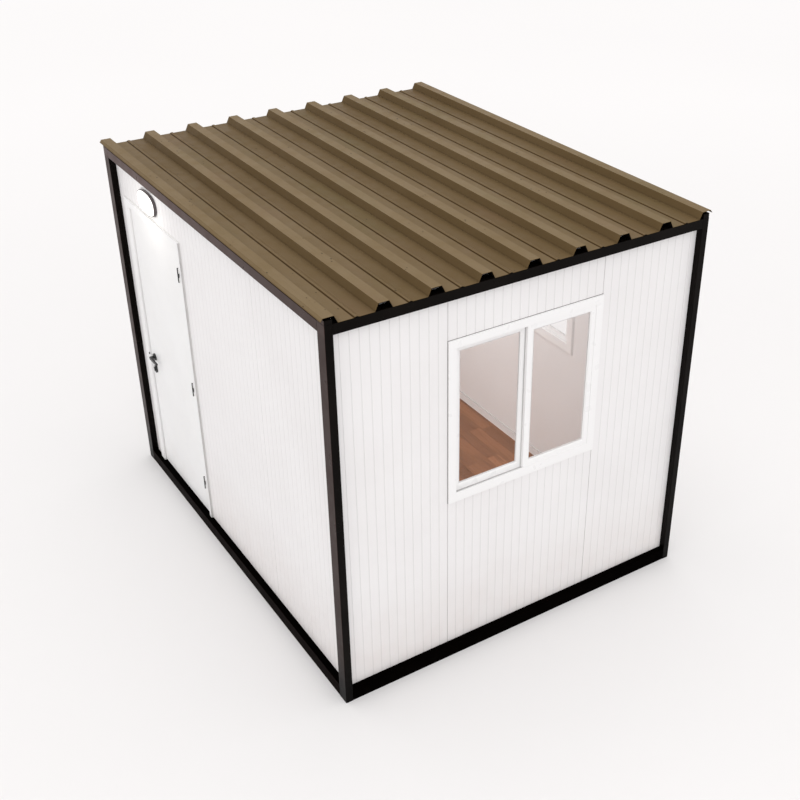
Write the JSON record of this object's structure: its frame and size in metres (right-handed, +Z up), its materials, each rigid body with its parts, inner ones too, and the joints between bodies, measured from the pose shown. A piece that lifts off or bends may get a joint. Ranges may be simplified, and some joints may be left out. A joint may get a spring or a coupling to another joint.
{
  "type": "security guard booth",
  "caption": "Flat-roofed guard booth with a steel frame, ribbed sandwich walls, a trapezoidal roof sheet, sliding windows and an outward-opening door.",
  "frame": {"origin": "middle of the footprint, on the floor that the booth stands on", "axes": "+Z up, -Y the front wall with the sliding window, -X the wall with the door"},
  "size_m": [2.436, 3, 2.4132],
  "materials": {
    "frame_steel": "semi-gloss near-black paint",
    "wall_panel": "satin white pre-painted steel skin",
    "roof_steel": "satin brown pre-painted steel",
    "floor_laminate": "satin laminate",
    "skirting": "matt",
    "white_pvc": "satin white window profile",
    "window_glass": "clear",
    "door_paint": "satin white paint",
    "dark_steel": "satin black",
    "lamp_plastic": "matt dark grey",
    "lamp_diffuser": "lit opal"
  },
  "bodies": {
    "booth": {"back_wall_left": "wall_panel", "back_wall_middle": "wall_panel", "back_wall_right": "wall_panel", "bottom_beam_back": "frame_steel", "bottom_beam_front": "frame_steel", "bottom_beam_left": "frame_steel", "bottom_beam_right": "frame_steel", "ceiling_panel": "wall_panel", "door_frame": "door_paint", "door_hinge_pins": "dark_steel", "floor_deck": "floor_laminate", "floor_joists": "frame_steel", "front_wall_above_window": "wall_panel", "front_wall_below_window": "wall_panel", "front_wall_left": "wall_panel", "front_wall_right": "wall_panel", "front_window_frame": "white_pvc", "front_window_glass": "window_glass", "front_window_sashes": "white_pvc", "lamp_body": "lamp_plastic", "lamp_diffuser": "lamp_diffuser", "left_wall_back": "wall_panel", "left_wall_front": "wall_panel", "left_wall_middle": "wall_panel", "left_wall_over_door": "wall_panel", "post_back_left": "frame_steel", "post_back_right": "frame_steel", "post_front_left": "frame_steel", "post_front_right": "frame_steel", "right_wall_above_window": "wall_panel", "right_wall_back": "wall_panel", "right_wall_below_window": "wall_panel", "right_wall_front": "wall_panel", "right_window_frame": "white_pvc", "right_window_glass": "window_glass", "right_window_sashes": "white_pvc", "roof_sheet": "roof_steel", "skirting": "skirting", "top_beam_back": "frame_steel", "top_beam_front": "frame_steel", "top_beam_left": "frame_steel", "top_beam_right": "frame_steel"},
    "door": {"door_leaf": "door_paint", "door_hinge_knuckles": "dark_steel", "lock_plates": "dark_steel"},
    "handle": {"door_handle": "dark_steel"}
  },
  "joints": [
    {"name": "door_hinge", "type": "hinge", "parent": "booth", "child": "door", "pos_m": [-1.178, 0.4475, 0], "axis": [0, 0, 1], "range_deg": [0, 120]},
    {"name": "handle_turn", "type": "hinge", "parent": "door", "child": "handle", "pos_m": [-1.139, 1.184, 0.965], "axis": [1, 0, 0], "range_deg": [0, 40], "stiffness_Nm_per_rad": 1.5, "springref_deg": -20.05}
  ]
}
